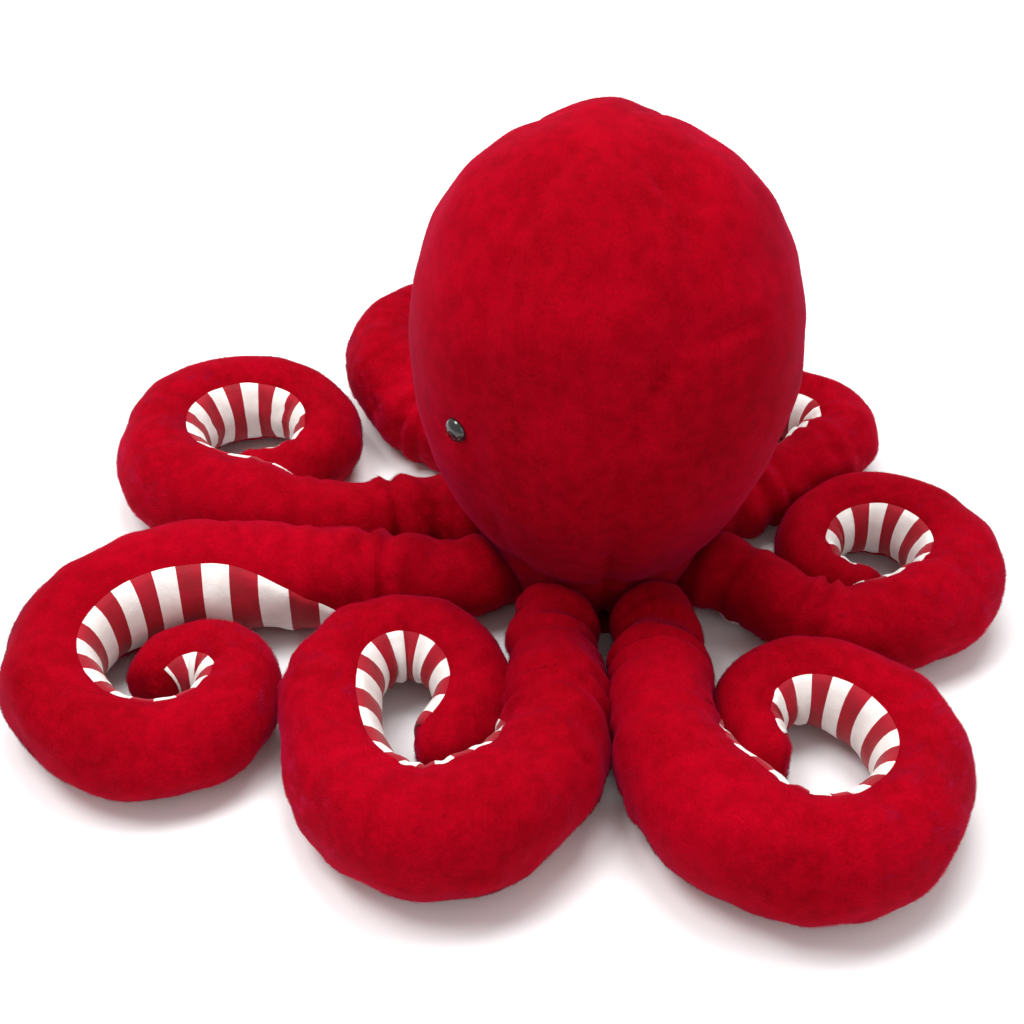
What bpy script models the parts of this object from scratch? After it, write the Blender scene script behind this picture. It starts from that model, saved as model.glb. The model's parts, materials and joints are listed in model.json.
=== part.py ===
"""Plush octopus: a stuffed soft toy that sits with its eight arms curled flat on the floor.

Units are metres, +Z is up. The origin is on the floor, on the axis of the head. The face
looks along -Y. Run it with: blender --background --python part.py
"""
import math

import bmesh
import bpy
import numpy as np
from mathutils import Matrix, Vector

# ---------------------------------------------------------------- driving dimensions
HEAD_RADIUS = 0.096          # widest half-width of the egg-shaped head
HEAD_HALF_HEIGHT = 0.130     # half the height of the whole egg
HEAD_CENTRE_Z = 0.137        # height of the egg's middle
HEAD_TOP_HEAVY = 0.12        # how far the egg is fuller above its middle than below
NECK_RADIUS = 0.068          # the head skin ends here, where the arms are sewn on
CROWN_HOLE_RADIUS = 0.0025   # the panels' points stop just short of one another
HEAD_SEAMS_DEG = (-50.0, 50.0, 123.0, 237.0)   # seams, counted round from the face
FACE_DEG = -90.0             # direction that the face looks in

ARM_ROOT_RADIUS = 0.062      # distance from the head's axis to the arm's sewn end
ARM_HINGE_Z = 0.047          # the crease at the top of the sewn end
ARM_HALF_WIDTHS = (0.021, 0.022, 0.026, 0.0255, 0.0225, 0.018, 0.011)
ARM_HEIGHT_RATIO = 1.08      # arms stand a little taller than they are wide
ROOT_BEND_LENGTH = 0.030     # stretch in which an arm swings from straight out to its heading
TIP_ROUNDING = 0.016         # stretch in which the tip closes
TIP_CLOSING = 0.4            # size of the last section against the full one
TIP_PLUSH_DEPTH = 0.8        # plush fills this much of the last section's half-width
STRIP_TILT_DEG = (-90.0, 18.0)   # underside faces the floor at the root, then turns inwards
STRIP_TURN_SPAN = (0.06, 0.30)   # part of the arm's length in which it turns

PLUSH_THICKNESS = 0.004      # backing cloth and pressed pile
JERSEY_THICKNESS = 0.0015    # striped underside
SEWN_GAP = 0.0004            # clearance between solids that touch in the real toy

BASE_RADIUS = 0.048
BASE_THICKNESS = 0.002
PELLET_BAG_RADIUS = 0.046
PELLET_BAG_HEIGHT = 0.040
PELLET_BAG_SQUARENESS = 0.6  # 1 is a round bag, smaller is flatter with fuller sides
PELLET_BAG_ROWS = 8
STUFFING_BOTTOM_Z = 0.050
STUFFING_SLACK = 0.0012      # extra clearance between the head's facets and its stuffing

EYE_DEG = 42.0               # each eye's direction, to either side of the face
EYE_Z = 0.143
EYE_DIAMETER = 0.012
EYE_DOME_RATIO = 0.75        # height of the bead's dome against its half-width
EYE_EDGE_THICKNESS = 0.0008  # flat rim below the dome
EYE_STAND_OFF = 0.0012       # back of the bead above the panel's surface
EYE_DOME_ROWS = 5
SHANK_DIAMETER = 0.0048
SHANK_LENGTH = 0.016
SHANK_POINT_INSET = 0.0008   # the shank's end is this much narrower, to start the washer
SHANK_RIB_DEPTH = 0.0003     # grips that keep the washer on
SHANK_RIBS = 4
SHANK_PLAIN_END = 0.001      # plain stretch behind the first rib
SHANK_PLAIN_NECK = 0.003     # plain stretch where the shank passes the cloth
WASHER_DIAMETER = 0.015
WASHER_THICKNESS = 0.0015
WASHER_DEPTH = 0.0070        # back face of the washer below the fur surface
EYE_HOLE_DEPTH = 0.010       # how far the hole through the cloth is cut below its surface
EYE_CUT_ABOVE = 0.004        # how far the cuts start above the surface
EYE_POCKET_SLACK = 0.0015    # room in the stuffing round the washer
EYE_POCKET_END = 0.001       # room in the stuffing behind the shank

SECTION_SIDES = 10           # facets round an arm
STRIP_SIDES = 3              # of which the striped underside covers this many
BACK_SIDES = SECTION_SIDES - STRIP_SIDES
SECTION_STEP = 360 / SECTION_SIDES
STRIP_EDGE = SECTION_STEP * STRIP_SIDES / 2   # degrees from the underside's middle to its edge
ARM_RINGS = 20               # sections along an arm
HEAD_ROWS = 10
SIDES_ROUND_HEAD = 24
SIDES_ROUND_EYE = 14
CREASE_DEG = 40              # edges sharper than this are shaded as creases


def lying(root, heading, curls, length, fullness, turned):
    """How one arm lies.

    root and heading are degrees from +X: where its sewn end sits and where it sets off to.
    curls is 1 for an arm that coils anticlockwise seen from above, -1 for clockwise.
    fullness is its thickness against ARM_HALF_WIDTHS. turned is how many degrees it has
    turned through at seven stations, evenly spaced from its root to its tip.
    """
    return {"root": root, "heading": heading, "curls": curls, "length": length,
            "fullness": fullness, "turned": turned}


ARMS = {
    "left_arm_1": lying(-66, -88, 1, 0.46, 0.98, (0, 0, 10, 75, 160, 265, 445)),
    "left_arm_2": lying(-19, 7, -1, 0.45, 0.98, (0, 10, 65, 160, 200, 325, 440)),
    "left_arm_3": lying(23, -5, 1, 0.44, 0.98, (0, 5, 45, 125, 195, 280, 445)),
    "left_arm_4": lying(67, 45, 1, 0.33, 0.92, (0, 10, 65, 135, 205, 305, 460)),
    "right_arm_4": lying(114, 98, 1, 0.27, 0.80, (0, 25, 40, 130, 180, 280, 435)),
    "right_arm_3": lying(164, 183, -1, 0.365, 0.91, (0, 0, 0, 55, 145, 240, 430)),
    "right_arm_2": lying(209, 261, -1, 0.375, 0.93, (0, 30, 65, 135, 220, 310, 490)),
    "right_arm_1": lying(254, 279, -1, 0.42, 0.98, (0, 5, 30, 100, 180, 280, 430)),
}

# ---------------------------------------------------------------- colours
CRIMSON_PLUSH = ("crimson_plush", (0.45, 0.006, 0.020), 0.95, 0.0)
STRIPED_JERSEY = ("striped_jersey", (0.70, 0.45, 0.40), 0.80, 0.0)
FIBRE_FILL = ("fibre_fill", (0.85, 0.84, 0.82), 1.0, 0.0)
PELLET_CLOTH = ("pellet_cloth", (0.70, 0.68, 0.64), 0.9, 0.0)
BLACK_PLASTIC = ("black_plastic", (0.01, 0.01, 0.012), 0.12, 0.0)
CLEAR_NYLON = ("clear_nylon", (0.80, 0.80, 0.78), 0.35, 0.0)


def clear_scene():
    for old in list(bpy.data.objects):
        bpy.data.objects.remove(old, do_unlink=True)


def material(spec):
    name, colour, roughness, metallic = spec
    found = bpy.data.materials.get(name)
    if found:
        return found
    made = bpy.data.materials.new(name)
    made.use_nodes = True
    shader = made.node_tree.nodes["Principled BSDF"]
    shader.inputs["Base Color"].default_value = (*colour, 1.0)
    shader.inputs["Roughness"].default_value = roughness
    shader.inputs["Metallic"].default_value = metallic
    return made


def finish_object(name, bm, finish, smooth=True):
    """Turn a bmesh into a named object with outward faces and its own material."""
    bmesh.ops.recalc_face_normals(bm, faces=bm.faces[:])
    mesh = bpy.data.meshes.new(name)
    bm.to_mesh(mesh)
    bm.free()
    if smooth:
        mesh.shade_smooth()
        mesh.set_sharp_from_angle(angle=math.radians(CREASE_DEG))
    mesh.materials.append(material(finish))
    made = bpy.data.objects.new(name, mesh)
    bpy.context.scene.collection.objects.link(made)
    return made


def put_on_body(made, body):
    """Parent an object to a body's empty, keeping its world place."""
    made.parent = body
    made.matrix_parent_inverse = Matrix.Translation(body.location).inverted()


def body_empty(name, location):
    empty = bpy.data.objects.new(name, None)
    empty.empty_display_size = 0.02
    empty.location = location
    bpy.context.scene.collection.objects.link(empty)
    return empty


def loft(rings):
    """A closed solid through rings of points: quads between rings and a cap at each end."""
    bm = bmesh.new()
    loops = [[bm.verts.new(point) for point in ring] for ring in rings]
    sides = len(rings[0])
    for near, far in zip(loops, loops[1:]):
        for i in range(sides):
            j = (i + 1) % sides
            bm.faces.new((near[i], near[j], far[j], far[i]))
    bm.faces.new(list(reversed(loops[0])))
    bm.faces.new(loops[-1])
    return bm


def turned(profile, sides):
    """A solid of revolution about Z from (radius, z) points that start and end on the axis."""
    bm = bmesh.new()
    loops = []
    for radius, z in profile[1:-1]:
        angles = [2 * math.pi * k / sides for k in range(sides)]
        loops.append([bm.verts.new((radius * math.cos(a), radius * math.sin(a), z)) for a in angles])
    first = bm.verts.new((0, 0, profile[0][1]))
    last = bm.verts.new((0, 0, profile[-1][1]))
    for k in range(sides):
        j = (k + 1) % sides
        bm.faces.new((first, loops[0][j], loops[0][k]))
        bm.faces.new((last, loops[-1][k], loops[-1][j]))
        for near, far in zip(loops, loops[1:]):
            bm.faces.new((near[k], near[j], far[j], far[k]))
    return bm


# ---------------------------------------------------------------- head
def head_radius(z, inset=0.0):
    """Half-width of the egg at a height, less an inset measured along the surface normal."""
    level = (z - HEAD_CENTRE_Z) / (HEAD_HALF_HEIGHT - inset)
    level = max(-1.0, min(1.0, level))
    return (HEAD_RADIUS - inset) * math.sqrt(1 - level * level) * (1 + HEAD_TOP_HEAVY * level)


def height_at_radius(radius, upper, inset=0.0):
    """Height at which the egg has a given half-width, above or below its middle."""
    near = HEAD_CENTRE_Z
    far = HEAD_CENTRE_Z + (1 if upper else -1) * (HEAD_HALF_HEIGHT - inset)
    for _ in range(40):
        middle = (near + far) / 2
        if head_radius(middle, inset) > radius:
            near = middle
        else:
            far = middle
    return (near + far) / 2


def head_heights(rows, inset=0.0):
    """Heights from the neck to the crown, spaced evenly round the egg's outline."""
    low = height_at_radius(NECK_RADIUS, upper=False)
    high = height_at_radius(CROWN_HOLE_RADIUS, upper=True, inset=inset)
    half = HEAD_HALF_HEIGHT - inset
    start = math.asin((low - HEAD_CENTRE_Z) / half)
    end = math.asin((high - HEAD_CENTRE_Z) / half)
    return [HEAD_CENTRE_Z + half * math.sin(start + (end - start) * k / rows) for k in range(rows + 1)]


def head_panel(name, start_deg, end_deg, body):
    """One fur panel between two seams: an outer and an inner skin joined round the edge."""
    columns = max(3, round((end_deg - start_deg) / (360 / SIDES_ROUND_HEAD)))
    bm = bmesh.new()
    skins = []
    for inset in (0.0, PLUSH_THICKNESS):
        grid = []
        for z in head_heights(HEAD_ROWS, inset):
            radius = head_radius(z, inset)
            trim = SEWN_GAP / 2 / radius
            start = math.radians(FACE_DEG + start_deg) + trim
            end = math.radians(FACE_DEG + end_deg) - trim
            row = []
            for k in range(columns + 1):
                angle = start + (end - start) * k / columns
                row.append(bm.verts.new((radius * math.cos(angle), radius * math.sin(angle), z)))
            grid.append(row)
        skins.append(grid)
    outer, inner = skins
    for r in range(HEAD_ROWS):
        for c in range(columns):
            bm.faces.new((outer[r][c], outer[r][c + 1], outer[r + 1][c + 1], outer[r + 1][c]))
            bm.faces.new((inner[r][c], inner[r + 1][c], inner[r + 1][c + 1], inner[r][c + 1]))
        for c in (0, columns):
            bm.faces.new((outer[r][c], outer[r + 1][c], inner[r + 1][c], inner[r][c]))
    for r in (0, HEAD_ROWS):
        for c in range(columns):
            bm.faces.new((outer[r][c], outer[r][c + 1], inner[r][c + 1], inner[r][c]))
    made = finish_object(name, bm, CRIMSON_PLUSH)
    put_on_body(made, body)
    return made


def head_stuffing(body):
    inset = PLUSH_THICKNESS + SEWN_GAP + STUFFING_SLACK
    low = STUFFING_BOTTOM_Z
    half = HEAD_HALF_HEIGHT - inset
    start = math.asin((low - HEAD_CENTRE_Z) / half)
    profile = [(0.0, low)]
    for k in range(HEAD_ROWS):
        z = HEAD_CENTRE_Z + half * math.sin(start + (math.pi / 2 - start) * k / HEAD_ROWS)
        profile.append((head_radius(z, inset), z))
    profile.append((0.0, HEAD_CENTRE_Z + half))
    made = finish_object("head_stuffing", turned(profile, SIDES_ROUND_HEAD), FIBRE_FILL)
    put_on_body(made, body)
    return made


def cut_with(target, cutter_mesh_bm, name, placement):
    """Cut a hidden, placed solid out of a target."""
    cutter = finish_object(name, cutter_mesh_bm, CLEAR_NYLON)
    cutter.matrix_world = placement
    cutter.hide_render = True
    cutter.display_type = "WIRE"
    cut = target.modifiers.new(name, "BOOLEAN")
    cut.operation = "DIFFERENCE"
    cut.object = cutter


# ---------------------------------------------------------------- eyes
def eye_placement(side):
    """Axis of an eye, square to the head's surface. side is -1 or 1."""
    angle = math.radians(FACE_DEG + side * EYE_DEG)
    level = Vector((math.cos(angle), math.sin(angle), 0.0))
    seat = level * head_radius(EYE_Z) + Vector((0, 0, EYE_Z))
    reach = EYE_DIAMETER / 2
    slope = (head_radius(EYE_Z + reach) - head_radius(EYE_Z - reach)) / (2 * reach)
    outwards = (level - Vector((0, 0, slope))).normalized()
    return Matrix.Translation(seat) @ outwards.to_track_quat("Z", "Y").to_matrix().to_4x4()


def eye_profile():
    """Domed bead with a ribbed shank behind it, as (radius, height above the fur)."""
    bead = EYE_DIAMETER / 2
    shank = SHANK_DIAMETER / 2
    points = [(0.0, -SHANK_LENGTH), (shank - SHANK_POINT_INSET, -SHANK_LENGTH)]
    pitch = (SHANK_LENGTH - PLUSH_THICKNESS - SHANK_PLAIN_NECK) / SHANK_RIBS
    for k in range(SHANK_RIBS):
        z = -SHANK_LENGTH + SHANK_PLAIN_END + k * pitch
        points += [(shank, z), (shank - SHANK_RIB_DEPTH, z + pitch / 2)]
    points += [(shank - SHANK_RIB_DEPTH, EYE_STAND_OFF), (bead, EYE_STAND_OFF)]
    rim = EYE_STAND_OFF + EYE_EDGE_THICKNESS
    dome = bead * EYE_DOME_RATIO
    for k in range(EYE_DOME_ROWS):
        lift = math.radians(90 * k / EYE_DOME_ROWS)
        points.append((bead * math.cos(lift), rim + dome * math.sin(lift)))
    points.append((0.0, rim + dome))
    return points


def washer_mesh():
    hole = SHANK_DIAMETER / 2 + SEWN_GAP
    rim = WASHER_DIAMETER / 2
    bm = bmesh.new()
    loops = []
    for radius, z in ((hole, 0), (rim, 0), (rim, WASHER_THICKNESS), (hole, WASHER_THICKNESS)):
        angles = [2 * math.pi * k / SIDES_ROUND_EYE for k in range(SIDES_ROUND_EYE)]
        loops.append([bm.verts.new((radius * math.cos(a), radius * math.sin(a), z)) for a in angles])
    for near, far in zip(loops, loops[1:] + loops[:1]):
        for k in range(SIDES_ROUND_EYE):
            j = (k + 1) % SIDES_ROUND_EYE
            bm.faces.new((near[k], near[j], far[j], far[k]))
    return bm


def cylinder_mesh(radius, low, high):
    return turned([(0, low), (radius, low), (radius, high), (0, high)], SIDES_ROUND_EYE)


def build_eye(side, label, panel, stuffing, body):
    place = eye_placement(side)
    bead = finish_object(f"{label}_eye", turned(eye_profile(), SIDES_ROUND_EYE), BLACK_PLASTIC)
    bead.matrix_world = place
    washer = finish_object(f"{label}_eye_washer", washer_mesh(), CLEAR_NYLON)
    washer.matrix_world = place @ Matrix.Translation((0, 0, -WASHER_DEPTH))
    for piece in (bead, washer):
        at = piece.matrix_world.copy()
        put_on_body(piece, body)
        piece.matrix_world = at
    hole = cylinder_mesh(SHANK_DIAMETER / 2 + SEWN_GAP, -EYE_HOLE_DEPTH, EYE_CUT_ABOVE)
    cut_with(panel, hole, f"{label}_eye_hole_cutter", place)
    pocket = cylinder_mesh(WASHER_DIAMETER / 2 + EYE_POCKET_SLACK,
                           -SHANK_LENGTH - EYE_POCKET_END, EYE_CUT_ABOVE)
    cut_with(stuffing, pocket, f"{label}_eye_pocket_cutter", place)


# ---------------------------------------------------------------- base
def build_base(body):
    panel = finish_object(
        "base_panel",
        turned([(0, 0), (BASE_RADIUS, 0), (BASE_RADIUS, BASE_THICKNESS), (0, BASE_THICKNESS)],
               SIDES_ROUND_HEAD),
        CRIMSON_PLUSH, smooth=False)
    put_on_body(panel, body)
    low = BASE_THICKNESS + SEWN_GAP
    half = PELLET_BAG_HEIGHT / 2
    profile = [(0.0, low)]
    for k in range(1, PELLET_BAG_ROWS):
        lift = -math.pi / 2 + math.pi * k / PELLET_BAG_ROWS
        radius = PELLET_BAG_RADIUS * math.cos(lift) ** PELLET_BAG_SQUARENESS
        profile.append((radius, low + half + half * math.sin(lift)))
    profile.append((0.0, low + PELLET_BAG_HEIGHT))
    bag = finish_object("pellet_bag", turned(profile, SIDES_ROUND_HEAD), PELLET_CLOTH)
    put_on_body(bag, body)


# ---------------------------------------------------------------- arms
def smooth_through(values, along):
    """Cubic curve through evenly spaced values, read at fractions from 0 to 1."""
    values = np.asarray(values, float)
    spans = len(values) - 1
    slopes = np.gradient(values)
    slopes[0] = values[1] - values[0]
    slopes[-1] = values[-1] - values[-2]
    x = np.clip(np.asarray(along, float) * spans, 0, spans - 1e-9)
    i = x.astype(int)
    t = x - i
    return ((2 * t**3 - 3 * t**2 + 1) * values[i] + (t**3 - 2 * t**2 + t) * slopes[i]
            + (3 * t**2 - 2 * t**3) * values[i + 1] + (t**3 - t**2) * slopes[i + 1])


def smoothstep(value):
    t = np.clip(value, 0.0, 1.0)
    return t * t * (3 - 2 * t)


def arm_centreline(arm, steps=240):
    """Points and headings along an arm as it lies curled on the floor, seen from above."""
    along = np.linspace(0, 1, steps + 1)
    lead_in = 1 - smoothstep(along * arm["length"] / ROOT_BEND_LENGTH)
    heading = np.radians(arm["heading"] + arm["curls"] * smooth_through(arm["turned"], along)
                         + (arm["root"] - arm["heading"]) * lead_in)
    step = arm["length"] / steps
    middle = (heading[1:] + heading[:-1]) / 2
    root = math.radians(arm["root"])
    x = ARM_ROOT_RADIUS * math.cos(root) + step * np.concatenate([[0], np.cumsum(np.cos(middle))])
    y = ARM_ROOT_RADIUS * math.sin(root) + step * np.concatenate([[0], np.cumsum(np.sin(middle))])
    return along, x, y, heading


def arm_stations(along, heading):
    """Fractions along the arm for its sections: closer together where it curls tightly."""
    turn = np.concatenate([[0], np.cumsum(np.abs(np.diff(heading)))])
    measure = along + turn / turn[-1]
    return np.interp(np.linspace(0, measure[-1], ARM_RINGS), measure, along)


def arm_frames(arm):
    """Section frames along an arm: centre, inward direction, half-width, half-height, tilt."""
    along, x, y, heading = arm_centreline(arm)
    frames = []
    for at in arm_stations(along, heading):
        facing = np.interp(at, along, heading)
        inward = Vector((-math.sin(facing), math.cos(facing), 0.0)) * arm["curls"]
        width = float(smooth_through(ARM_HALF_WIDTHS, at)) * arm["fullness"]
        lift = width * ARM_HEIGHT_RATIO
        centre = Vector((np.interp(at, along, x), np.interp(at, along, y), lift))
        to_tip = (1 - at) * arm["length"] / TIP_ROUNDING
        closing = max(TIP_CLOSING, math.sqrt(max(0.0, 1 - max(0.0, 1 - to_tip) ** 2)))
        turn = float(smoothstep((at - STRIP_TURN_SPAN[0]) / (STRIP_TURN_SPAN[1] - STRIP_TURN_SPAN[0])))
        tilt = STRIP_TILT_DEG[0] + (STRIP_TILT_DEG[1] - STRIP_TILT_DEG[0]) * turn
        frames.append((centre, inward, width, lift, tilt, closing))
    return frames


def section_ring(frame, corners):
    """Points of one section. A corner is (degrees from the underside's middle, inset)."""
    centre, inward, width, lift, tilt, closing = frame
    ring = []
    for angle, inset in corners:
        turned_by = math.radians(angle + tilt)
        across = inward * ((width - inset) * closing * math.cos(turned_by))
        upright = Vector((0, 0, (lift - inset) * closing * math.sin(turned_by)))
        ring.append(centre + across + upright)
    return ring


def band_corners(first_angle, sides, width, thickness):
    """Corners of a strip of cloth that goes part of the way round: its outer and inner skin."""
    trim = math.degrees(SEWN_GAP / 2 / width)
    angles = [first_angle + SECTION_STEP * k for k in range(sides + 1)]
    angles[0] += trim
    angles[-1] -= trim
    return [(angle, 0.0) for angle in angles] + [(angle, thickness) for angle in reversed(angles)]


def stuffing_corners():
    """Corners of the stuffing, which fills the cloth out to its inner skins."""
    corners = []
    for k in range(SECTION_SIDES):
        cloth = JERSEY_THICKNESS if 0 < k < STRIP_SIDES else PLUSH_THICKNESS
        corners.append((-STRIP_EDGE + SECTION_STEP * k, cloth + 2 * SEWN_GAP))
    return corners


def build_arm(label, arm):
    """One arm: plush back, striped underside and stuffing, on an empty at its sewn crease."""
    root = math.radians(arm["root"])
    hinge = Vector((ARM_ROOT_RADIUS * math.cos(root), ARM_ROOT_RADIUS * math.sin(root), ARM_HINGE_Z))
    body = body_empty(label, hinge)
    frames = arm_frames(arm)
    back = []
    underside = []
    for frame in frames:
        width = frame[2]
        plush = PLUSH_THICKNESS if frame is not frames[-1] else TIP_PLUSH_DEPTH * width
        back.append(section_ring(frame, band_corners(STRIP_EDGE, BACK_SIDES, width, plush)))
        underside.append(section_ring(
            frame, band_corners(-STRIP_EDGE, STRIP_SIDES, width, JERSEY_THICKNESS)))
    filling = [section_ring(frame, stuffing_corners()) for frame in frames[:-1]]
    for suffix, rings, finish in (("plush_back", back, CRIMSON_PLUSH),
                                  ("striped_underside", underside, STRIPED_JERSEY),
                                  ("stuffing", filling, FIBRE_FILL)):
        put_on_body(finish_object(f"{label}_{suffix}", loft(rings), finish), body)


def main():
    clear_scene()
    head = body_empty("head", Vector((0, 0, 0)))
    panels = {}
    seams = HEAD_SEAMS_DEG
    names = ("head_face_panel", "head_left_panel", "head_back_panel", "head_right_panel")
    for name, start, end in zip(names, seams, seams[1:] + (seams[0] + 360,)):
        panels[name] = head_panel(name, start, end, head)
    stuffing = head_stuffing(head)
    for side, label in ((-1, "right"), (1, "left")):
        build_eye(side, label, panels["head_face_panel"], stuffing, head)
    build_base(head)
    for label, arm in ARMS.items():
        build_arm(label, arm)


main()
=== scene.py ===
"""Plush octopus: fur, striped jersey, bead eyes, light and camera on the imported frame.

Metres, +Z up, in the frame of the CAD model. The face looks along -Y.
"""
import json
import math

import bmesh
import bpy
import numpy as np
from mathutils import Matrix, Vector

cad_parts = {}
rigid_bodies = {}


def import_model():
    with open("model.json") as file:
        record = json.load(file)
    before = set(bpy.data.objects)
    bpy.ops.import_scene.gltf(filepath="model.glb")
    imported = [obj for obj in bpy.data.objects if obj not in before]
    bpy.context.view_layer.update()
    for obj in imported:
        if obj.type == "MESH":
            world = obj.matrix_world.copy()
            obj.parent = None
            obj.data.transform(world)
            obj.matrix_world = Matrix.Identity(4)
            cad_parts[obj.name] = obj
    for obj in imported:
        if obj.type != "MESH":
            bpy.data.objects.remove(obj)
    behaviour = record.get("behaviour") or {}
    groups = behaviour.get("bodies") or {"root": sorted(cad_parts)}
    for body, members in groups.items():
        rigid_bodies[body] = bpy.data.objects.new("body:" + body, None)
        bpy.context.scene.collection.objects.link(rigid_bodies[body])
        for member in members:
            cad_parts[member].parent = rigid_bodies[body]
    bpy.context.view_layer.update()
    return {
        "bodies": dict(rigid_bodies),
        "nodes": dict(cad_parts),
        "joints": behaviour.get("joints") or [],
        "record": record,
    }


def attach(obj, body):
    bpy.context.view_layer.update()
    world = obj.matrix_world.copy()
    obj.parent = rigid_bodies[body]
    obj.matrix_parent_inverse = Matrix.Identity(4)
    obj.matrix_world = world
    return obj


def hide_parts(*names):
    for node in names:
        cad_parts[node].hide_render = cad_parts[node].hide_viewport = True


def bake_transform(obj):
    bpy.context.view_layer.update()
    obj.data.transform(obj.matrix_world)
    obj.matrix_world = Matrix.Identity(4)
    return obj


# ---------------------------------------------------------------- head, as in the CAD model
HEAD_RADIUS = 0.096
HEAD_HALF_HEIGHT = 0.130
HEAD_CENTRE_Z = 0.137
HEAD_TOP_HEAVY = 0.12
FACE_DEG = -90.0
HEAD_SEAMS_DEG = (-50.0, 50.0, 123.0, 237.0)
HEAD_SWEEP_DEG = 140          # how far round the egg's outline the skin follows it, from the crown
NECK_LOW_Z = 0.010            # the head's skin tucks in between the arms down to here
NECK_LOW_RADIUS = 0.050
EYE_DEG = 42.0
EYE_Z = 0.143
EYE_RADIUS = 0.0062

# ---------------------------------------------------------------- arms, as in the CAD model
ARM_ROOT_RADIUS = 0.062
ARM_HALF_WIDTHS = (0.021, 0.022, 0.026, 0.0255, 0.0225, 0.018, 0.011)
ARM_HEIGHT_RATIO = 1.08
ROOT_BEND_LENGTH = 0.030
STRIP_TILT_DEG = (-90.0, 7.0)
STRIP_TURN_SPAN = (0.06, 0.30)
STRIP_EDGE_DEG = 52.0

# ---------------------------------------------------------------- cloth and fur
RING_STEP = 0.0029            # spacing of the sections along an arm: a tenth of the stripes' pitch
RINGS_PER_PITCH = 10
WHITE_RINGS = 5
ARM_SIDES = 40
ARM_SKIN_DEPTH = 0.0016       # backing cloth below the tips of the pile
FUR_FULLNESS = 0.0012         # the pile rounds the arms out past the CAD's flat facets
TAIL_FULLNESS = {             # and the ends, which lie free in their own coils, more than that
    "left_arm_1": 0.0045, "left_arm_2": 0.0040, "left_arm_3": 0.0035, "right_arm_1": 0.0025,
}
ROOT_FULLNESS = {"left_arm_2": 0.0040, "left_arm_3": 0.0040, "left_arm_1": 0.0020}
ROOT_TUCK = 0.016             # the arms run on this far under the head
HAIR_LENGTH = 0.0026
HAIR_WIDTH = 0.00024
HEAD_HAIR_LENGTH = 0.0014
HAIRS_PER_SQUARE_METRE = 1_500_000
HEAD_HAIRS_PER_SQUARE_METRE = 1_300_000
HEAD_NAP = 0.16
ARM_NAP = 0.55
HAIR_ROOT_DEPTH = 0.0002      # hairs start this far below the skin
HAIR_LIFT = 0.28              # sine of a hair's lean away from the skin
LOWEST_POINT = 0.0012         # the arms' skin rests this far above the floor
SIM_FRAMES = 20
SIM_PRESSURE = 4.0
SIM_CAP = 0.004               # the simulation may move the cloth this far at most

# ---------------------------------------------------------------- marks on the head
SEAM_WIDTHS = (0.0034, 0.012)         # the stitched line, and the wider hollow round it
SEAM_DEPTHS = (0.0024, 0.0014)
FRONT_SEAM_SHARE = 0.55
REAR_SEAM_SHARE = 1.2
# (degrees from the face, height, size, depth)
DIMPLES = ((134, 0.250, 0.007, 0.0045), (97, 0.163, 0.006, 0.0050), (89, 0.165, 0.0045, 0.0045))
EYE_HOLLOWS = ((0.014, 0.0022), (0.006, 0.0010))
# (path as degrees from the face and heights, width, depth)
CREASES = (
    (((97, 0.204), (112, 0.201), (137, 0.203)), 0.0035, 0.0028),
    (((88, 0.170), (91, 0.161), (97, 0.163)), 0.0035, 0.0035),
)

# ---------------------------------------------------------------- gathers and partings on the arms
GATHER_PITCH = 0.0170
GATHER_AT = (0.0, 0.015, 0.080, 0.150)
GATHER_DEPTHS = (0.0006, 0.0022, 0.0016, 0.0)
PARTING_DEPTH = 0.0016
PARTING_WIDTH = 0.22
STRIP_START = 0.030           # the stripes begin this far along an arm

CAMERA_AT = (0.704, -0.0437, 0.633)
CAMERA_LOOK = (-0.766, 0.0, -0.643)
CAMERA_LENS_MM = 62.26


def lying(root, heading, curls, length, fullness, turned):
    """How one arm lies: the same table as in the CAD model."""
    return {"root": root, "heading": heading, "curls": curls, "length": length,
            "fullness": fullness, "turned": turned}


ARMS = {
    "left_arm_1": lying(-66, -88, 1, 0.46, 0.98, (0, 0, 10, 75, 160, 265, 445)),
    "left_arm_2": lying(-19, 7, -1, 0.45, 0.98, (0, 10, 65, 160, 200, 325, 440)),
    "left_arm_3": lying(23, -5, 1, 0.44, 0.98, (0, 5, 45, 125, 195, 280, 445)),
    "left_arm_4": lying(67, 45, 1, 0.33, 0.92, (0, 10, 65, 135, 205, 305, 460)),
    "right_arm_4": lying(114, 98, 1, 0.27, 0.80, (0, 25, 40, 130, 180, 280, 435)),
    "right_arm_3": lying(164, 183, -1, 0.365, 0.91, (0, 0, 0, 55, 145, 240, 430)),
    "right_arm_2": lying(209, 261, -1, 0.375, 0.93, (0, 30, 65, 135, 220, 310, 490)),
    "right_arm_1": lying(254, 279, -1, 0.42, 0.98, (0, 5, 30, 100, 180, 280, 430)),
}


# ---------------------------------------------------------------- small mathematics
def smoothstep(value):
    t = np.clip(value, 0.0, 1.0)
    return t * t * (3 - 2 * t)


def smooth_through(values, along):
    """Cubic curve through evenly spaced values, read at fractions from 0 to 1."""
    values = np.asarray(values, float)
    spans = len(values) - 1
    slopes = np.gradient(values)
    slopes[0] = values[1] - values[0]
    slopes[-1] = values[-1] - values[-2]
    x = np.clip(np.asarray(along, float) * spans, 0, spans - 1e-9)
    i = x.astype(int)
    t = x - i
    return ((2 * t**3 - 3 * t**2 + 1) * values[i] + (t**3 - 2 * t**2 + t) * slopes[i]
            + (3 * t**2 - 2 * t**3) * values[i + 1] + (t**3 - t**2) * slopes[i + 1])


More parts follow.
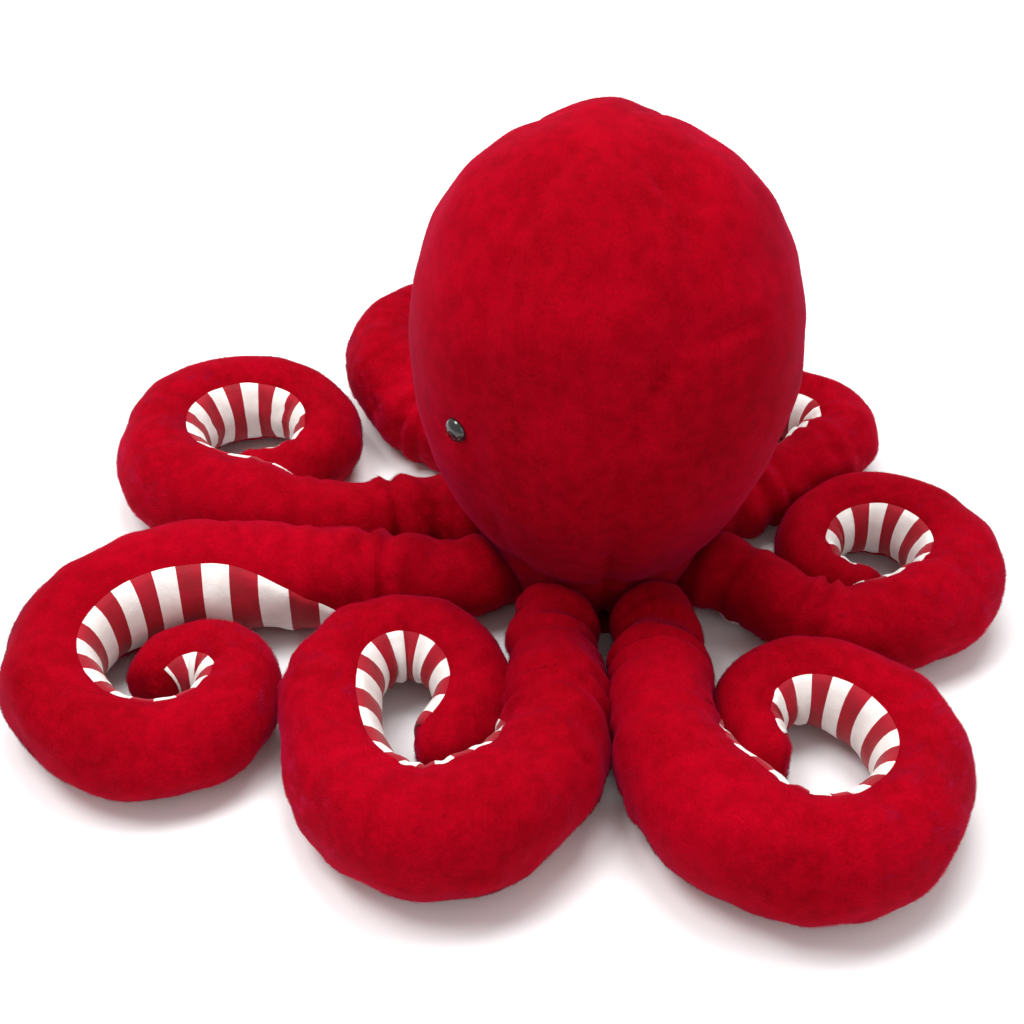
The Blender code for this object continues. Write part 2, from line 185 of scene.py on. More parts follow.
def ripples(points, size, seed, waves=14):
    """A smooth irregular field from about -1 to 1 whose bumps are roughly `size` metres across."""
    rng = np.random.default_rng(seed)
    directions = rng.normal(size=(waves, 3))
    directions /= np.linalg.norm(directions, axis=1)[:, None]
    rates = math.pi / size * rng.uniform(0.6, 1.5, waves)
    phases = rng.uniform(0, 2 * math.pi, waves)
    field = np.sin(points @ (directions * rates[:, None]).T + phases).sum(axis=1)
    return field / math.sqrt(waves) * 0.8


def unit(vectors):
    return vectors / np.maximum(np.linalg.norm(vectors, axis=-1, keepdims=True), 1e-12)


# ---------------------------------------------------------------- materials
def new_material(name, roughness):
    made = bpy.data.materials.new(name)
    made.use_nodes = True
    shader = made.node_tree.nodes["Principled BSDF"]
    shader.inputs["Roughness"].default_value = roughness
    return made, made.node_tree.nodes, made.node_tree.links, shader


def noise_colour(nodes, links, scale, detail, stops, vector=None):
    """A colour ramp driven by noise in the object's own coordinates."""
    noise = nodes.new("ShaderNodeTexNoise")
    noise.inputs["Scale"].default_value = scale
    noise.inputs["Detail"].default_value = detail
    if vector is not None:
        links.new(vector, noise.inputs["Vector"])
    ramp = nodes.new("ShaderNodeValToRGB")
    elements = ramp.color_ramp.elements
    while len(elements) < len(stops):
        elements.new(0.5)
    for element, (at, colour) in zip(elements, stops):
        element.position = at
        element.color = (*colour, 1.0)
    links.new(noise.outputs["Fac"], ramp.inputs["Fac"])
    return ramp.outputs["Color"], noise.outputs["Fac"]


def mixed(nodes, links, first, second, share, mode="MIX"):
    mix = nodes.new("ShaderNodeMix")
    mix.data_type = "RGBA"
    mix.blend_type = mode
    if isinstance(share, float):
        mix.inputs["Factor"].default_value = share
    else:
        links.new(share, mix.inputs["Factor"])
    links.new(first, mix.inputs["A"])
    links.new(second, mix.inputs["B"])
    return mix.outputs["Result"]


def bump(nodes, links, height, strength, distance, onto=None):
    made = nodes.new("ShaderNodeBump")
    made.inputs["Strength"].default_value = strength
    made.inputs["Distance"].default_value = distance
    links.new(height, made.inputs["Height"])
    if onto is not None:
        links.new(onto, made.inputs["Normal"])
    return made.outputs["Normal"]


def object_coordinates(nodes):
    return nodes.new("ShaderNodeTexCoord").outputs["Object"]


def fur_material(name, bright, deep):
    """Crimson pile: uneven in broad patches and from tuft to tuft, with a soft pink sheen."""
    made, nodes, links, shader = new_material(name, 0.85)
    at = object_coordinates(nodes)
    middle = tuple((a + b) / 2 for a, b in zip(bright, deep))
    broad, _ = noise_colour(nodes, links, 16, 3, ((0.34, deep), (0.50, middle), (0.66, bright)), at)
    tufts, _ = noise_colour(nodes, links, 130, 4, ((0.38, deep), (0.60, bright)), at)
    fine, fac = noise_colour(nodes, links, 700, 2, ((0.35, deep), (0.65, bright)), at)
    patchy = mixed(nodes, links, broad, tufts, 0.40)
    links.new(mixed(nodes, links, patchy, fine, 0.30), shader.inputs["Base Color"])
    rough = nodes.new("ShaderNodeMapRange")
    rough.inputs["To Min"].default_value = 0.72
    rough.inputs["To Max"].default_value = 0.95
    links.new(fac, rough.inputs["Value"])
    links.new(rough.outputs["Result"], shader.inputs["Roughness"])
    links.new(bump(nodes, links, fac, 0.15, 0.0004), shader.inputs["Normal"])
    shader.inputs["Specular IOR Level"].default_value = 0.02
    shader.inputs["Sheen Weight"].default_value = 0.16
    shader.inputs["Sheen Roughness"].default_value = 0.40
    shader.inputs["Sheen Tint"].default_value = (1.0, 0.05, 0.26, 1.0)
    return made


def jersey_material(name, colour, shade):
    """Fine knit: rows of small stitches over a slightly uneven dye."""
    made, nodes, links, shader = new_material(name, 0.78)
    at = object_coordinates(nodes)
    dye, fac = noise_colour(nodes, links, 90, 4, ((0.32, shade), (0.62, colour)), at)
    links.new(dye, shader.inputs["Base Color"])
    knit = nodes.new("ShaderNodeTexVoronoi")
    knit.inputs["Scale"].default_value = 1400
    links.new(at, knit.inputs["Vector"])
    rough = nodes.new("ShaderNodeMapRange")
    rough.inputs["To Min"].default_value = 0.68
    rough.inputs["To Max"].default_value = 0.88
    links.new(fac, rough.inputs["Value"])
    links.new(rough.outputs["Result"], shader.inputs["Roughness"])
    coarse = bump(nodes, links, fac, 0.5, 0.0012)
    links.new(bump(nodes, links, knit.outputs["Distance"], 0.35, 0.0003, coarse),
              shader.inputs["Normal"])
    shader.inputs["Specular IOR Level"].default_value = 0.25
    shader.inputs["Sheen Weight"].default_value = 0.15
    shader.inputs["Sheen Roughness"].default_value = 0.5
    return made


def moulded_material(name, colour, shade, roughness, coat=0.0):
    """Moulded plastic with faint flow marks and scuffs."""
    made, nodes, links, shader = new_material(name, roughness)
    at = object_coordinates(nodes)
    tone, fac = noise_colour(nodes, links, 260, 5, ((0.35, shade), (0.65, colour)), at)
    links.new(tone, shader.inputs["Base Color"])
    rough = nodes.new("ShaderNodeMapRange")
    rough.inputs["To Min"].default_value = roughness * 0.7
    rough.inputs["To Max"].default_value = roughness * 1.5
    links.new(fac, rough.inputs["Value"])
    links.new(rough.outputs["Result"], shader.inputs["Roughness"])
    links.new(bump(nodes, links, fac, 0.08, 0.0002), shader.inputs["Normal"])
    shader.inputs["Coat Weight"].default_value = coat
    return made


# ---------------------------------------------------------------- meshes
def mesh_object(name, points, faces, materials, face_materials=None, smooth=True):
    mesh = bpy.data.meshes.new(name)
    mesh.from_pydata(np.asarray(points).tolist(), [], faces)
    for finish in materials:
        mesh.materials.append(finish)
    if face_materials is not None:
        mesh.polygons.foreach_set("material_index", np.asarray(face_materials, np.int32))
    mesh.polygons.foreach_set("use_smooth", np.full(len(mesh.polygons), smooth))
    mesh.update()
    made = bpy.data.objects.new(name, mesh)
    bpy.context.scene.collection.objects.link(made)
    return made


def vertices_of(made):
    points = np.empty(len(made.data.vertices) * 3)
    made.data.vertices.foreach_get("co", points)
    return points.reshape(-1, 3)


def normals_of(made):
    normals = np.empty(len(made.data.vertices) * 3)
    made.data.vertex_normals.foreach_get("vector", normals)
    return normals.reshape(-1, 3)


def inflate(made, pinned=None):
    """Blow the cloth up from inside like its stuffing does, and keep the settled shape."""
    before = vertices_of(made)
    cloth = made.modifiers.new("cloth", "CLOTH")
    settings = cloth.settings
    settings.quality = 4
    settings.mass = 0.25
    settings.tension_stiffness = 18
    settings.compression_stiffness = 12
    settings.bending_stiffness = 0.8
    settings.use_pressure = True
    settings.uniform_pressure_force = SIM_PRESSURE
    settings.effector_weights.gravity = 0
    cloth.collision_settings.use_self_collision = False
    if pinned is not None:
        group = made.vertex_groups.new(name="pinned")
        group.add(np.flatnonzero(pinned).tolist(), 1.0, "REPLACE")
        settings.vertex_group_mass = "pinned"
    cloth.point_cache.frame_start = 1
    cloth.point_cache.frame_end = SIM_FRAMES
    scene = bpy.context.scene
    for frame in range(1, SIM_FRAMES + 1):
        scene.frame_set(frame)
    settled = made.evaluated_get(bpy.context.evaluated_depsgraph_get()).to_mesh()
    after = np.empty(len(settled.vertices) * 3)
    settled.vertices.foreach_get("co", after)
    after = after.reshape(-1, 3)
    made.modifiers.remove(cloth)
    scene.frame_set(1)
    moved = after - before
    far = np.linalg.norm(moved, axis=1, keepdims=True)
    moved *= np.minimum(1.0, SIM_CAP / np.maximum(far, 1e-9))
    made.data.vertices.foreach_set("co", (before + moved).ravel())
    made.data.update()


# ---------------------------------------------------------------- fur
def hairs(name, skin, combing, keep, length, per_square_metre, nap, finish, seed):
    """Short flat-lying hairs over a skin, as one mesh of slender triangles.

    combing is the direction that the pile is brushed in at each vertex. keep is, for each
    vertex, the share of hairs that grow there. nap is how far tufts turn towards or away from
    the light.
    """
    rng = np.random.default_rng(seed)
    mesh = skin.data
    mesh.calc_loop_triangles()
    corners = np.empty(len(mesh.loop_triangles) * 3, np.int32)
    mesh.loop_triangles.foreach_get("vertices", corners)
    corners = corners.reshape(-1, 3)
    points = vertices_of(skin)
    normals = normals_of(skin)
    a, b, c = (points[corners[:, k]] for k in range(3))
    areas = np.linalg.norm(np.cross(b - a, c - a), axis=1) / 2
    wanted = areas * per_square_metre * keep[corners].mean(axis=1)
    count = rng.poisson(wanted)
    which = np.repeat(np.arange(len(corners)), count)
    total = len(which)
    u = rng.random(total)
    v = rng.random(total)
    flip = u + v > 1
    u[flip] = 1 - u[flip]
    v[flip] = 1 - v[flip]
    shares = np.stack([1 - u - v, u, v], axis=1)[:, :, None]
    chosen = corners[which]
    at = (points[chosen] * shares).sum(axis=1)
    out = unit((normals[chosen] * shares).sum(axis=1))
    comb = (combing[chosen] * shares).sum(axis=1)
    comb = unit(comb - out * (comb * out).sum(axis=1, keepdims=True))
    side = np.cross(out, comb)
    swirl = 0.45 * ripples(at, 0.025, seed + 1) + 0.20 * ripples(at, 0.008, seed + 2)
    swirl = swirl + rng.normal(0, 0.22, total)
    lean = comb * np.cos(swirl)[:, None] + side * np.sin(swirl)[:, None]
    tuft = ripples(at, 0.0045, seed + 3)
    lift = np.clip(HAIR_LIFT + 0.08 * tuft + rng.normal(0, 0.05, total), 0.08, 0.60)[:, None]
    reach = length * (1 + 0.12 * tuft + rng.normal(0, 0.14, total))[:, None]
    tips = at + (lean * np.sqrt(1 - lift**2) + out * lift) * reach
    tips[:, 2] = np.maximum(tips[:, 2], 0.0004)
    across = unit(np.cross(out, lean)) * (HAIR_WIDTH / 2)
    base = at - out * HAIR_ROOT_DEPTH
    corners3 = np.stack([base + across, base - across, tips], axis=1).reshape(-1, 3)
    made = bpy.data.meshes.new(name)
    made.vertices.add(total * 3)
    made.vertices.foreach_set("co", corners3.ravel())
    made.loops.add(total * 3)
    made.loops.foreach_set("vertex_index", np.arange(total * 3, dtype=np.int32))
    made.polygons.add(total)
    made.polygons.foreach_set("loop_start", np.arange(0, total * 3, 3, dtype=np.int32))
    made.polygons.foreach_set("use_smooth", np.ones(total, bool))
    made.update()
    parting = ripples(at, 0.011, seed + 4)
    shading = unit(out + nap * lean * (tuft + parting)[:, None] + rng.normal(0, 0.04, (total, 3)))
    made.normals_split_custom_set_from_vertices(np.repeat(shading, 3, axis=0).tolist())
    made.materials.append(finish)
    piece = bpy.data.objects.new(name, made)
    piece.visible_shadow = False
    piece.visible_diffuse = False
    bpy.context.scene.collection.objects.link(piece)
    return piece


# ---------------------------------------------------------------- head
def head_radius(z):
    level = np.clip((z - HEAD_CENTRE_Z) / HEAD_HALF_HEIGHT, -1, 1)
    return HEAD_RADIUS * np.sqrt(1 - level * level) * (1 + HEAD_TOP_HEAVY * level)


def seam_angle(turn, z):
    """A seam's direction at a height, in degrees. The rear ones swing forward low down."""
    swing = 30 * (1 - smoothstep((z - 0.150) / 0.095))
    if turn == HEAD_SEAMS_DEG[2]:
        return FACE_DEG + turn - swing
    if turn == HEAD_SEAMS_DEG[3]:
        return FACE_DEG + turn + swing
    return FACE_DEG + turn


def head_points(rows, columns):
    """The head's skin, from the crown down to where it tucks in between the arms."""
    around = np.linspace(0, 2 * math.pi, columns, endpoint=False)
    rings = []
    for k in range(1, rows):
        sweep = k / rows
        z = HEAD_CENTRE_Z + HEAD_HALF_HEIGHT * math.cos(sweep * math.radians(HEAD_SWEEP_DEG))
        radius = float(head_radius(np.array(z)))
        rings.append((z, radius))
    last_z, last_radius = rings[-1]
    for k in range(1, 7):
        share = k / 6
        rings.append((last_z + (NECK_LOW_Z - last_z) * share,
                      last_radius + (NECK_LOW_RADIUS - last_radius) * smoothstep(share)))
    points = [(0, 0, rings[0][0] + 0.0002)]
    for z, radius in rings:
        for angle in around:
            points.append((radius * math.cos(angle), radius * math.sin(angle), z))
    points.append((0, 0, NECK_LOW_Z - 0.003))
    faces = []
    for k in range(columns):
        j = (k + 1) % columns
        faces.append((0, 1 + k, 1 + j))
        for r in range(len(rings) - 1):
            near = 1 + r * columns
            far = near + columns
            faces.append((near + k, far + k, far + j, near + j))
        last = 1 + (len(rings) - 1) * columns
        faces.append((last + k, len(points) - 1, last + j))
    return np.array(points), faces


def towards_axis(points):
    """Unit directions from points on the head in towards its middle."""
    return unit(np.stack([-points[:, 0], -points[:, 1],
                          (HEAD_CENTRE_Z - points[:, 2]) * 0.4], axis=1))


def dent(points, angle_deg, z, size, depth):
    """Push a rounded hollow into the head towards its axis."""
    angle = math.radians(angle_deg)
    radius = float(head_radius(np.array(z)))
    middle = np.array((radius * math.cos(angle), radius * math.sin(angle), z))
    near = np.exp(-(np.linalg.norm(points - middle, axis=1) / size) ** 2)
    return points + towards_axis(points) * (depth * near)[:, None]


def crease(points, path, width, depth):
    """Press a line into the head. path is (degrees from the face, height) points."""
    line = []
    for angle_deg, z in path:
        angle = math.radians(FACE_DEG + angle_deg)
        radius = float(head_radius(np.array(z)))
        line.append((radius * math.cos(angle), radius * math.sin(angle), z))
    line = np.array(line)
    nearest = np.full(len(points), 1e9)
    for start, end in zip(line, line[1:]):
        span = end - start
        along = np.clip((points - start) @ span / (span @ span), 0, 1)
        closest = start + along[:, None] * span
        nearest = np.minimum(nearest, np.linalg.norm(points - closest, axis=1))
    return points + towards_axis(points) * (depth * np.exp(-(nearest / width) ** 2))[:, None]


def shape_head(skin):
    """Seams, dimples, eye sockets and the uneven fill of the head."""
    points = vertices_of(skin)
    angles = np.degrees(np.arctan2(points[:, 1], points[:, 0]))
    outward = unit(np.stack([points[:, 0], points[:, 1],
                             (points[:, 2] - HEAD_CENTRE_Z) * 0.6], axis=1))
    flat = np.hypot(points[:, 0], points[:, 1])
    points = points + outward * (0.0016 * ripples(points, 0.050, 5))[:, None]
    points = points + outward * (0.0007 * ripples(points, 0.018, 6))[:, None]
    heights = vertices_of(skin)[:, 2]
    for index, turn in enumerate(HEAD_SEAMS_DEG):
        seam = np.array([seam_angle(turn, z) for z in heights])
        away = np.radians((angles - seam + 180) % 360 - 180) * flat
        fade = smoothstep((flat - 0.012) / 0.030)
        depth = sum(deep * np.exp(-(away / wide) ** 2) for deep, wide in zip(SEAM_DEPTHS, SEAM_WIDTHS))
        depth = depth * (FRONT_SEAM_SHARE if index < 2 else REAR_SEAM_SHARE)
        pucker = 1 + 0.35 * ripples(points, 0.010, 40 + index)
        points = points - outward * (depth * pucker * fade)[:, None]
    for side in (-1, 1):
        for size, depth in EYE_HOLLOWS:
            points = dent(points, FACE_DEG + side * EYE_DEG, EYE_Z, size, depth)
    for turn, z, size, depth in DIMPLES:
        points = dent(points, FACE_DEG + turn, z, size, depth)
    for path, width, depth in CREASES:
        points = crease(points, path, width, depth)
    skin.data.vertices.foreach_set("co", points.ravel())
    skin.data.update()


def build_head(fur, pile):
    points, faces = head_points(64, 120)
    inner = points.copy()
    centre = np.array((0, 0, HEAD_CENTRE_Z))
    inner = inner - unit(inner - centre) * 0.0022
    skin = mesh_object("head_skin", inner, faces, [fur])
    inflate(skin, pinned=inner[:, 2] < 0.05)
    shape_head(skin)
    inner = vertices_of(skin)
    down = np.tile((0.0, 0.0, -1.0), (len(inner), 1))
    around = np.stack([-inner[:, 1], inner[:, 0], np.zeros(len(inner))], axis=1)
    flat = np.hypot(inner[:, 0], inner[:, 1])[:, None]
    combing = unit(down + unit(around) * 0.15 + np.stack(
        [inner[:, 0], inner[:, 1], np.zeros(len(inner))], axis=1) / 0.1 * (flat < 0.06))
    keep = np.where(inner[:, 2] > 0.040, 1.0, 0.25)
    for side in (-1, 1):
        angle = math.radians(FACE_DEG + side * EYE_DEG)
        radius = float(head_radius(np.array(EYE_Z)))
        eye = np.array((radius * math.cos(angle), radius * math.sin(angle), EYE_Z))
        keep[np.linalg.norm(inner - eye, axis=1) < EYE_RADIUS * 0.85] = 0.0
    coat = hairs("head_fur", skin, combing, keep, HEAD_HAIR_LENGTH,
                 HEAD_HAIRS_PER_SQUARE_METRE, HEAD_NAP, pile, 100)
    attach(skin, "head")
    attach(coat, "head")
    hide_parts("head_face_panel", "head_left_panel", "head_back_panel",
                "head_right_panel", "head_stuffing")


def lathe(name, profile, sides, finish):
    """A solid of revolution about Z from (radius, z) points that start and end on the axis."""
    points = [(0, 0, profile[0][1])]
    for radius, z in profile[1:-1]:
        for k in range(sides):
            angle = 2 * math.pi * k / sides
            points.append((radius * math.cos(angle), radius * math.sin(angle), z))
    points.append((0, 0, profile[-1][1]))
    rings = len(profile) - 2
    faces = []
    for k in range(sides):
        j = (k + 1) % sides
        faces.append((0, 1 + j, 1 + k))
        for r in range(rings - 1):
            near = 1 + r * sides
            far = near + sides
            faces.append((near + k, near + j, far + j, far + k))
        last = 1 + (rings - 1) * sides
        faces.append((last + k, last + j, len(points) - 1))
    return mesh_object(name, points, faces, [finish])


def eye_placement(side):
    angle = math.radians(FACE_DEG + side * EYE_DEG)
    level = Vector((math.cos(angle), math.sin(angle), 0.0))
    seat = level * float(head_radius(np.array(EYE_Z))) + Vector((0, 0, EYE_Z))
    return Matrix.Translation(seat) @ level.to_track_quat("Z", "Y").to_matrix().to_4x4()


def build_eye(side, label, finish):
    dome = [(0.0, -0.0060), (0.0022, -0.0060), (0.0024, -0.0042), (EYE_RADIUS * 0.96, -0.0040)]
    for k in range(9):
        lift = math.radians(90 * k / 9)
        dome.append((EYE_RADIUS * math.cos(lift), -0.0037 + 0.0042 * math.sin(lift)))
    dome.append((0.0, 0.0005))
    bead = lathe(f"{label}_eye_bead", dome, 48, finish)
    bead.data.transform(eye_placement(side))
    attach(bead, "head")
    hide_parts(f"{label}_eye")


def build_base(fur, bag_cloth):
    rim = [(0.0, 0.0003)]
    for k in range(7):
        lift = math.radians(-90 + 180 * k / 6)
        rim.append((0.0465 + 0.0012 * math.cos(lift), 0.0015 + 0.0012 * math.sin(lift)))
    rim.append((0.0, 0.0027))
    panel = lathe("base_disc", rim, 72, fur)
    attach(panel, "head")
    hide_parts("base_panel")
    bag = [(0.0, 0.0136)]
    for k in range(1, 24):
        lift = math.radians(-90 + 180 * k / 24)
        bag.append((0.0420 * math.cos(lift) ** 0.6, 0.0276 + 0.0140 * math.sin(lift)))
    bag.append((0.0, 0.0416))
    sack = lathe("pellet_sack", bag, 96, bag_cloth)
    points = vertices_of(sack)
    outward = unit(points - np.array((0, 0, 0.0226)))
    points = points + outward * (0.0007 * ripples(points, 0.004, 77))[:, None]
    sack.data.vertices.foreach_set("co", points.ravel())
    sack.data.update()
    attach(sack, "head")
    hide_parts("pellet_bag")


# ---------------------------------------------------------------- arms
def arm_centreline(arm, steps=480):
    along = np.linspace(0, 1, steps + 1)
    lead_in = 1 - smoothstep(along * arm["length"] / ROOT_BEND_LENGTH)
    heading = np.radians(arm["heading"] + arm["curls"] * smooth_through(arm["turned"], along)
                         + (arm["root"] - arm["heading"]) * lead_in)
    step = arm["length"] / steps
    middle = (heading[1:] + heading[:-1]) / 2
    root = math.radians(arm["root"])
    x = ARM_ROOT_RADIUS * math.cos(root) + step * np.concatenate([[0], np.cumsum(np.cos(middle))])
    y = ARM_ROOT_RADIUS * math.sin(root) + step * np.concatenate([[0], np.cumsum(np.sin(middle))])
    return along, x, y, heading


def arm_skin(label, arm, seed):
    """The arm's sections: points, brushing direction and angle from the underside's middle."""
    along, x, y, heading = arm_centreline(arm)
    length = arm["length"]
    at = np.arange(-ROOT_TUCK, length - RING_STEP * 0.4, RING_STEP)
    share = np.clip(at / length, 0, 1)
    facing = np.interp(share, along, heading)
    root = math.radians(arm["root"])
    before = np.minimum(at, 0)
    cx = np.interp(share, along, x) + before * math.cos(root)
    cy = np.interp(share, along, y) + before * math.sin(root)
    width = smooth_through(ARM_HALF_WIDTHS, share) * arm["fullness"] + FUR_FULLNESS
    width = width + TAIL_FULLNESS.get(label, 0.0) * smoothstep((share - 0.55) / 0.45)
    near_head = smoothstep((share - 0.04) / 0.10) * (1 - smoothstep((share - 0.30) / 0.25))
    width = width + ROOT_FULLNESS.get(label, 0.0) * near_head
    width = width * (1 + 0.45 * before / ROOT_TUCK)
    lift = width * ARM_HEIGHT_RATIO
    turn = smoothstep((share - STRIP_TURN_SPAN[0]) / (STRIP_TURN_SPAN[1] - STRIP_TURN_SPAN[0]))
    tilt = STRIP_TILT_DEG[0] + (STRIP_TILT_DEG[1] - STRIP_TILT_DEG[0]) * turn
    to_tip = (length - at) / (width * 0.9)
    closing = np.sqrt(np.clip(1 - np.clip(1 - to_tip, 0, 1) ** 2, 0.03, 1))
    angles = np.linspace(0, 360, ARM_SIDES, endpoint=False)
    bending = np.abs(np.gradient(facing, RING_STEP))
    inward = np.stack([-np.sin(facing), np.cos(facing), np.zeros(len(at))], axis=1) * arm["curls"]
    centre = np.stack([cx, cy, lift], axis=1)
    tangent = np.stack([np.cos(facing), np.sin(facing), np.zeros(len(at))], axis=1)
    turned_by = np.radians(angles[None, :] + tilt[:, None])
    across = (width - ARM_SKIN_DEPTH)[:, None] * closing[:, None] * np.cos(turned_by)
    upright = (lift - ARM_SKIN_DEPTH)[:, None] * closing[:, None] * np.sin(turned_by)
    points = (centre[:, None, :] + inward[:, None, :] * across[:, :, None]
              + np.array((0, 0, 1.0)) * upright[:, :, None])
    outward = unit(inward[:, None, :] * np.cos(turned_by)[:, :, None]
                   + np.array((0, 0, 1.0)) * np.sin(turned_by)[:, :, None])
    flat_points = points.reshape(-1, 3)
    lumps = 0.0014 * ripples(flat_points, 0.032, seed) + 0.0008 * ripples(flat_points, 0.013, seed + 1)
    gather_depth = np.interp(at, GATHER_AT, GATHER_DEPTHS)
    gather_depth = gather_depth * (0.65 + 0.5 * np.sin(at * 95 + seed))
    phase = at[:, None] / GATHER_PITCH * 2 * math.pi + 1.6 * np.sin(np.radians(angles) + seed)[None, :]
    wander = 1.4 * np.sin(at * 170 + seed)[:, None]
    gathers = gather_depth[:, None] * np.sin(phase + wander)
    inside = np.clip(np.cos(turned_by), 0, 1)
    folds = inside * np.clip(bending * width - 0.45, 0, 0.7)[:, None] * 0.0035
    folds = folds * (np.sin(at * 2 * math.pi / GATHER_PITCH + seed)[:, None] - 0.5)
    divide = np.abs(ripples(flat_points, 0.016, seed + 2)) + 0.5 * (1 + ripples(flat_points, 0.05, seed + 3))
    partings = -PARTING_DEPTH * np.exp(-(np.clip(divide, 0, None) / PARTING_WIDTH) ** 2)
    height = (lumps + partings).reshape(points.shape[:2]) + gathers + folds
    height = height * closing[:, None]
    points = points + outward * height[:, :, None]
    points[:, :, 2] = np.maximum(points[:, :, 2], LOWEST_POINT)
    combing = np.repeat(tangent[:, None, :], ARM_SIDES, axis=1)
    return points, combing, angles, at


def tube_faces(rings, sides):
    faces = []
    for r in range(rings - 1):
        for k in range(sides):
            j = (k + 1) % sides
            faces.append((r * sides + k, r * sides + j, (r + 1) * sides + j, (r + 1) * sides + k))
    faces.append(tuple(range(sides - 1, -1, -1)))
    faces.append(tuple((rings - 1) * sides + k for k in range(sides)))
    return faces


def outward_faces(made):
    """Flip a closed mesh whose faces look inwards."""
    bm = bmesh.new()
    bm.from_mesh(made.data)
    bmesh.ops.recalc_face_normals(bm, faces=bm.faces[:])
    bm.to_mesh(made.data)
    bm.free()
    made.data.update()


def strip_mesh(name, skin_points, normals, at, columns, cloth_white, cloth_red):
    """The striped underside: a thin cloth laid over the skin, white and red bands across it."""
    rings = len(at)
    chosen = skin_points[:, columns]
    outward = normals[:, columns]
    count = len(columns)
    bulge = np.sin(np.linspace(0, math.pi, count))[None, :, None]
    top = chosen + outward * (0.0003 + 0.0013 * bulge ** 0.5)
    under = chosen - outward * 0.0008
    points = np.concatenate([top.reshape(-1, 3), under.reshape(-1, 3)])
    offset = rings * count
    faces = []
    slots = []
    for r in range(rings - 1):
        band = 0 if r % RINGS_PER_PITCH < WHITE_RINGS else 1
        for k in range(count - 1):
            a = r * count + k
            faces.append((a, a + 1, a + count + 1, a + count))
            faces.append((offset + a, offset + a + count, offset + a + count + 1, offset + a + 1))
            slots += [band, band]
        for k in (0, count - 1):
            a = r * count + k
            faces.append((a, a + count, offset + a + count, offset + a))
            slots.append(band)
    for r in (0, rings - 1):
        for k in range(count - 1):
            a = r * count + k
            faces.append((a, a + 1, offset + a + 1, offset + a))
            slots.append(1)
    made = mesh_object(name, points, faces, [cloth_white, cloth_red], slots)
    outward_faces(made)
    return made


def build_arm(label, arm, fur, pile, cloth_white, cloth_red, seed):
    points, combing, angles, at = arm_skin(label, arm, seed)
    rings = len(at)
    skin = mesh_object(f"{label}_skin", points.reshape(-1, 3), tube_faces(rings, ARM_SIDES), [fur])
    outward_faces(skin)
    fixed = np.zeros((rings, ARM_SIDES), bool)
    fixed[:6] = True
    inflate(skin, pinned=fixed.ravel() | (points[:, :, 2].ravel() < 0.002))
    settled = vertices_of(skin)
    settled[:, 2] = np.maximum(settled[:, 2], LOWEST_POINT)
    skin.data.vertices.foreach_set("co", settled.ravel())
    skin.data.update()
    normals = normals_of(skin).reshape(rings, ARM_SIDES, 3)
    settled = settled.reshape(rings, ARM_SIDES, 3)
    signed = (angles + 180) % 360 - 180
    order = np.argsort(signed)
    columns = [k for k in order if abs(signed[k]) <= STRIP_EDGE_DEG + 1]
    first = int(STRIP_START / RING_STEP)
    strip = strip_mesh(f"{label}_stripes", settled[first:-2], normals[first:-2], at[first:-2],
                       columns, cloth_white, cloth_red)
    bare = np.abs(signed) < STRIP_EDGE_DEG - 3
    keep = np.ones((rings, ARM_SIDES))
    keep[first:-2, bare] = 0.0
    keep[settled[:, :, 2] < 0.003] *= 0.4
    coat = hairs(f"{label}_fur", skin, combing.reshape(-1, 3), keep.ravel(), HAIR_LENGTH,
                 HAIRS_PER_SQUARE_METRE, ARM_NAP, pile, 1000 + seed)
    for piece in (skin, coat, strip):
        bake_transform(piece)
    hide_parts(f"{label}_plush_back", f"{label}_stuffing")
    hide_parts(f"{label}_striped_underside")


# ---------------------------------------------------------------- stage
def area_light(name, place, look_at, size, watts, colour=(1, 1, 1)):
    data = bpy.data.lights.new(name, "AREA")
    data.shape = "DISK"
    data.size = size
    data.energy = watts
    data.color = colour
    lamp = bpy.data.objects.new(name, data)
    lamp.location = place
    lamp.rotation_euler = (Vector(look_at) - Vector(place)).to_track_quat("-Z", "Y").to_euler()
    bpy.context.scene.collection.objects.link(lamp)


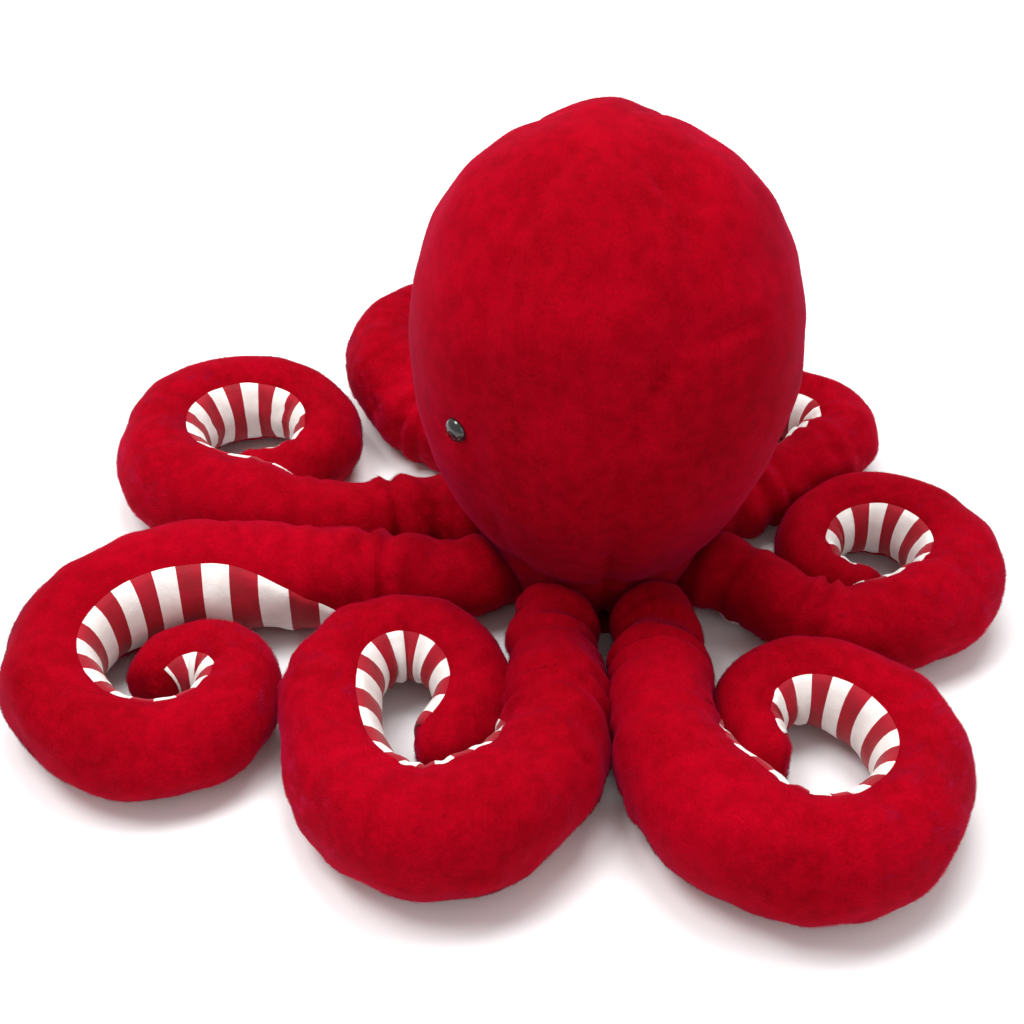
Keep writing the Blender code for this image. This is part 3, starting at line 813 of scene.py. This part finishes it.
def build_stage():
    floor_finish, nodes, links, shader = new_material("floor_white", 0.6)
    tone, _ = noise_colour(nodes, links, 6, 2, ((0.3, (0.93, 0.93, 0.94)), (0.7, (0.95, 0.95, 0.96))))
    links.new(tone, shader.inputs["Base Color"])
    side = 6.0
    corners = [(-side, -side, 0), (side, -side, 0), (side, side, 0), (-side, side, 0)]
    floor = mesh_object("floor", corners, [(0, 1, 2, 3)], [floor_finish])
    world = bpy.data.worlds.new("studio")
    world.use_nodes = True
    world.node_tree.nodes["Background"].inputs["Color"].default_value = (1, 1, 1, 1)
    world.node_tree.nodes["Background"].inputs["Strength"].default_value = 0.62
    bpy.context.scene.world = world
    area_light("key", (0.10, -0.70, 1.5), (0, 0, 0.1), 0.8, 15)
    area_light("fill", (1.4, 0.9, 0.9), (0, 0, 0.1), 1.4, 4)
    area_light("top", (-0.35, 0.1, 1.6), (0, 0, 0.1), 0.9, 17)


def build_camera():
    data = bpy.data.cameras.new("camera")
    data.lens = CAMERA_LENS_MM
    data.sensor_width = 36.0
    data.clip_start = 0.05
    camera = bpy.data.objects.new("camera", data)
    camera.location = CAMERA_AT
    camera.rotation_euler = Vector(CAMERA_LOOK).to_track_quat("-Z", "Y").to_euler()
    bpy.context.scene.collection.objects.link(camera)
    bpy.context.scene.camera = camera
    bpy.context.scene.view_settings.view_transform = "Standard"


def main():
    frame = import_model()
    build_camera()
    fur = fur_material("crimson_backing", (0.36, 0.0002, 0.008), (0.20, 0.0001, 0.003))
    pile = fur_material("crimson_pile", (0.47, 0.0003, 0.014), (0.22, 0.0001, 0.003))
    cloth_white = jersey_material("white_jersey", (0.86, 0.83, 0.80), (0.74, 0.70, 0.67))
    cloth_red = jersey_material("red_jersey", (0.36, 0.0005, 0.014), (0.26, 0.0003, 0.008))
    bead = moulded_material("eye_black", (0.012, 0.011, 0.012), (0.006, 0.006, 0.007), 0.10, 0.6)
    nylon = moulded_material("washer_nylon", (0.80, 0.80, 0.78), (0.70, 0.70, 0.68), 0.35)
    bag_cloth = jersey_material("pellet_bag_cloth", (0.72, 0.70, 0.66), (0.60, 0.58, 0.54))
    build_head(fur, pile)
    for side, label in ((-1, "right"), (1, "left")):
        build_eye(side, label, bead)
        washer = frame["nodes"][f"{label}_eye_washer"]
        for place in washer.material_slots:
            place.material = nylon
    build_base(fur, bag_cloth)
    for seed, (label, arm) in enumerate(ARMS.items()):
        build_arm(label, arm, fur, pile, cloth_white, cloth_red, 10 * seed + 3)
    build_stage()


main()
